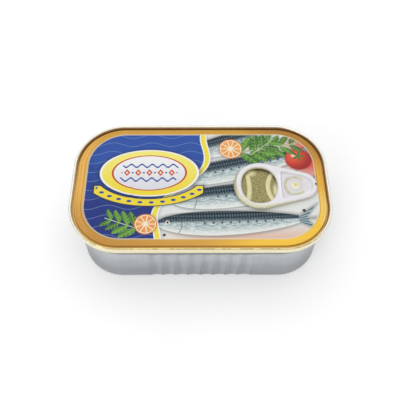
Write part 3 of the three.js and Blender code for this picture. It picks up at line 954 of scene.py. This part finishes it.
def draw_oval(f, ground):
    """Lays an oval plate over the ground colour: a yellow border between white and red lines, an arched
    yellow band of dots under it, and inside it a row of diamonds and dots between two wave lines. d is about
    how far a point lies outside the oval."""
    u = (f.x - OVAL[0]) / OVAL_HALF[0]
    v = (f.y - OVAL[1]) / OVAL_HALF[1]
    span = math.sqrt(OVAL_HALF[0] * OVAL_HALF[1])
    d = (f.length(u, v) - 1.0) * span
    yellow = f.mix(f.ramp(v, -1.2, 1.0), "f6df30", "fcf27c")

    arch = f.highest(abs(d - ARCH_PLACE) - ARCH_HALF_WIDTH, f.y + 1.0)
    arch = f.highest(arch, abs(f.x - OVAL[0]) - ARCH_HALF_LENGTH)
    ground = f.mix(f.inside(arch - 1.1, 1.6) * 0.5, ground, "152445")
    ground = f.mix(f.inside(arch - 0.4), ground, "2a2f55")
    ground = f.mix(f.inside(arch), ground, yellow)
    turn = f.math("ARCTAN2", v, u)
    bead = (f.math("FRACT", turn * BEADS) - 0.5) * (span / BEADS * 1.3)
    dot = f.highest(f.length(bead, d - ARCH_PLACE) - 0.75, arch + 0.5)
    ground = f.mix(f.inside(dot, 0.16), ground, "2c4a9a")

    ground = f.mix(f.inside(d - 1.6, 1.8) * 0.55, ground, "14234a")
    plate = f.mix(f.ramp(v, -0.7, 0.7), "e4e6ea", "fafaf8")
    for reach, tint in ((0.7, "fbfbf8"), (0.0, yellow), (-3.0, "c9402c"), (-3.6, plate)):
        ground = f.mix(f.inside(d - reach), ground, tint)

    across = f.x - OVAL[0]
    up = f.y - OVAL[1]
    on_plate = f.inside(d + 5.0)
    for row in (ROW_OFFSET, -ROW_OFFSET):
        wave = abs(up - row - 0.75 * f.math("SINE", across * 1.45)) - 0.42
        ground = f.mix(f.inside(wave, 0.16) * on_plate, ground, "3b5aa6")
    cell = (f.math("FRACT", across / DIAMOND_STEP + 0.5) - 0.5) * DIAMOND_STEP
    diamond = abs(cell) * 1.25 + abs(up) - 1.65
    in_row = f.inside(abs(across) - 2.5 * DIAMOND_STEP, 0.1)
    ground = f.mix(f.inside(diamond, 0.16) * in_row, ground, "cf3f2a")
    ground = f.mix(f.inside(diamond + 0.95, 0.16) * in_row, ground, PITH)
    between = (f.math("FRACT", across / DIAMOND_STEP) - 0.5) * DIAMOND_STEP
    dot = f.length(between, up) - 0.42
    return f.mix(f.inside(dot, 0.16) * in_row, ground, "3b5aa6")


# The bare round under the ring, and the painted gleams on its metal as x, y and half sizes.
WINDOW_RADIUS = RING_RADIUS - 1.1
WINDOW_PAINTED_GLEAMS = [(20.3, 5.4, 2.6, 1.9), (30.9, -3.4, 1.6, 3.6)]


def bare_window(f):
    """The unprinted round under the ring: brushed lid metal, with painted highlights along the pressed ribs,
    two painted gleams and pale specks. Returns the round's share, which is 1 inside it, the colour and the
    grain."""
    share = f.inside(f.length(f.x - RING_X, f.y - TAB_Y) - WINDOW_RADIUS, 0.15)
    grain = f.noise(f.x * 0.9, f.y * 3.2, 1.0, detail=4.0, roughness=0.75)
    shade = f.mix(f.ramp(grain, 0.38, 0.66), "716a44", "bdb47c")
    # Painted highlights along the pressed ribs.
    left, right = rib_shares(f.x, f.y, lambda q: f.math("SQRT", q), f.highest, abs)
    right_rib_highlight = f.ramp(right, 0.05, 0.4) * f.inside(f.x - RIGHT_RIB_END, 0.3)
    rib_highlight = f.highest(f.ramp(left, 0.05, 0.4), right_rib_highlight)
    shade = f.mix(rib_highlight * 0.75, shade, "efe6b4")
    # Painted gleams.
    for x, y, half_x, half_y in WINDOW_PAINTED_GLEAMS:
        gleam = f.length((f.x - x) / half_x, (f.y - y) / half_y)
        shade = f.mix(f.ramp(gleam, 1.3, 0.4) * 0.75, shade, "ece6bc")
    specks = f.ramp(f.noise(f.x * 2.2, f.y * 1.6, 5.0, detail=3.0), 0.62, 0.74)
    return share, f.mix(specks * 0.5, shade, "f2edcb"), grain


# The print's outline, and the things on it: places, then each sprig's angle, pairs of leaves and leaf length,
# each cut fruit's radius, rind, flesh, light flesh and segments, and each peppercorn's x, y and radius.
PRINT_X = 0.3
PRINT_HALF_LENGTH = 47.2
PRINT_CORNER = 15.9
TOMATO = ((41.0, 12.2), 5.6)
REAR_SPRIGS = [((15.0, 15.4), 11, 6, 8.6), ((22.0, 15.0), 40, 3, 7.6)]
REAR_FRUIT = ((12.8, 17.6), 5.0, "e8862a", "f0963a", "f9b765", 10)
FRONT_SPRIG = ((-23.5, -21.0), 160, 4, 7.0)
FRONT_FRUIT = ((-21.5, -18.6), 4.5, "e07c28", "ee8e36", "f8b060", 9)
PEPPERCORNS = [
    (39.6, 5.9, 0.75),
    (43.4, 1.0, 0.6),
    (12.4, 23.0, 0.6),
    (-14.0, -23.4, 0.6),
    (41.0, -12.6, 0.7),
]


def print_finish():
    """The lid's print under clear gloss, drawn in plain fields and shapes: a pale ground, a fan of fish, a
    blue field, a tomato, sprigs, cut fruit, peppercorns and an oval plate. Round it run a pale line and the
    border's gold, and the round under the ring is bare metal."""
    f = Finish("printed_lid", Coat_Weight=0.12, Coat_Roughness=0.1, Specular_IOR_Level=0.3)
    shade = draw_field(f, draw_fish(f, draw_ground(f)))
    shade = draw_tomato(f, shade, *TOMATO)
    for sprig in REAR_SPRIGS:
        shade = draw_sprig(f, shade, *sprig)
    shade = draw_fruit_wheel(f, shade, *REAR_FRUIT)
    shade = draw_sprig(f, shade, *FRONT_SPRIG)
    shade = draw_fruit_wheel(f, shade, *FRONT_FRUIT)
    for x, y, radius in PEPPERCORNS:
        shade = f.mix(f.inside(f.length(f.x - x, f.y - y) - radius, 0.3), shade, "3a2a22")
    shade = draw_oval(f, shade)

    beyond = round_distance(f, PRINT_X, PRINT_HALF_LENGTH, DEPTH / 2 - PANEL_INSET, PRINT_CORNER)
    gold, _, _ = gold_tone(f)
    shade = f.mix(f.inside(-0.45 - beyond, 0.3) * 0.7, shade, "efe3c0")
    border = f.inside(-beyond, 0.15)
    shade = f.mix(border, shade, gold)
    window, metal, grain = bare_window(f)
    shade = f.mix(window, shade, metal)
    ripple = f.noise(f.x * 0.25, f.y * 0.25, 2.0)
    fine = f.noise(f.x * 2.5, f.y * 2.5, 4.0, detail=3.0)
    worn = f.ramp(f.noise(f.x * 0.5, f.y * 3.5, 6.0, detail=4.0), 0.62, 0.8)
    f.set(
        base_color=shade,
        metallic=f.highest(window * 0.7, border * 0.75),
        roughness=0.34 + 0.1 * fine + 0.1 * worn,
        normal=f.bump(ripple * 2.0 + fine * 0.25 + window * grain * 0.5, strength=0.12),
    )
    return f.material


def floor_finish():
    """An almost white floor that glows a little, so that it stays near white under the lamps."""
    f = Finish(
        "pale_floor",
        Roughness=0.75,
        Specular_IOR_Level=0.1,
        Emission_Color="ffffff",
        Emission_Strength=0.22,
    )
    cloud = f.noise(f.x * 0.01, f.y * 0.01)
    f.set(base_color=f.mix(cloud, "f6f6f6", "ffffff"))
    return f.material


def ride(piece, node):
    """Puts a piece on the root body, in place of a CAD node."""
    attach(piece, "root")
    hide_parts(node)


ride(lid_rim(rim_finish()), "lid")
ride(lid_panel(print_finish()), "lid")
ride(lid_rivet(rivet_finish()), "lid")
ride(can_wall(can_finish()), "can_body")
ride(pull_tab(tab_finish()), "pull_tab")


def add_floor():
    """A wide flat floor under the stand ring. Half its side is in metres."""
    half = 3.0
    corners = [(-half, -half, 0), (half, -half, 0), (half, half, 0), (-half, half, 0)]
    mesh = bpy.data.meshes.new("floor")
    mesh.from_pydata(corners, [], [(0, 1, 2, 3)])
    mesh.materials.append(floor_finish())
    floor = bpy.data.objects.new("floor", mesh)
    bpy.context.scene.collection.objects.link(floor)


def add_light(name, place, target, width, height, power):
    """A soft rectangular lamp at a place in metres, facing a target."""
    data = bpy.data.lights.new(name, "AREA")
    data.shape = "RECTANGLE"
    data.size = width
    data.size_y = height
    data.energy = power
    lamp = bpy.data.objects.new(name, data)
    lamp.location = place
    lamp.rotation_euler = (Vector(target) - Vector(place)).to_track_quat("-Z", "Y").to_euler()
    bpy.context.scene.collection.objects.link(lamp)


# The camera, measured from the tin's outline in the photograph, with its focal length as a share of the
# picture's width.
CAMERA_ELEVATION = math.radians(58.92)
CAMERA_AZIMUTH = math.radians(-0.54)
CAMERA_ROLL = math.radians(0.38)
CAMERA_DISTANCE = 233.0
CAMERA_TARGET = (-0.13, 0.98, 15.0)
FOCAL_SHARE = 1.351675


def add_camera():
    """The camera looks down at the tin's front from its measured distance, elevation and turn."""
    back = Vector((
        math.sin(CAMERA_AZIMUTH) * math.cos(CAMERA_ELEVATION),
        -math.cos(CAMERA_AZIMUTH) * math.cos(CAMERA_ELEVATION),
        math.sin(CAMERA_ELEVATION),
    ))
    right = Vector((math.cos(CAMERA_AZIMUTH), math.sin(CAMERA_AZIMUTH), 0))
    up = back.cross(right)
    turned_right = right * math.cos(CAMERA_ROLL) + up * math.sin(CAMERA_ROLL)
    turned_up = up * math.cos(CAMERA_ROLL) - right * math.sin(CAMERA_ROLL)
    data = bpy.data.cameras.new("camera")
    data.sensor_width = 36
    data.lens = FOCAL_SHARE * data.sensor_width
    data.clip_start = 0.005
    data.clip_end = 20
    camera = bpy.data.objects.new("camera", data)
    place = Matrix((turned_right, turned_up, back)).transposed().to_4x4()
    place.translation = (Vector(CAMERA_TARGET) + back * CAMERA_DISTANCE) * MM
    camera.matrix_world = place
    bpy.context.scene.collection.objects.link(camera)
    bpy.context.scene.camera = camera


def add_studio():
    """An even pale surround, a wide lamp overhead reaching to the rear, and a weak one at the front left."""
    world = bpy.data.worlds.new("studio")
    world.use_nodes = True
    surround = world.node_tree.nodes["Background"].inputs
    surround["Color"].default_value = colour("fdfdff")
    surround["Strength"].default_value = 0.36
    bpy.context.scene.world = world
    add_light("overhead", place=(0.0, 0.35, 0.8), target=(0, 0.35, 0), width=1.6, height=1.7, power=7.0)
    add_light("front_left", place=(-0.5, -0.7, 0.6), target=(0, 0, 0), width=0.5, height=0.5, power=1.7)
    bpy.context.scene.view_settings.view_transform = "Standard"


add_floor()
add_camera()
add_studio()
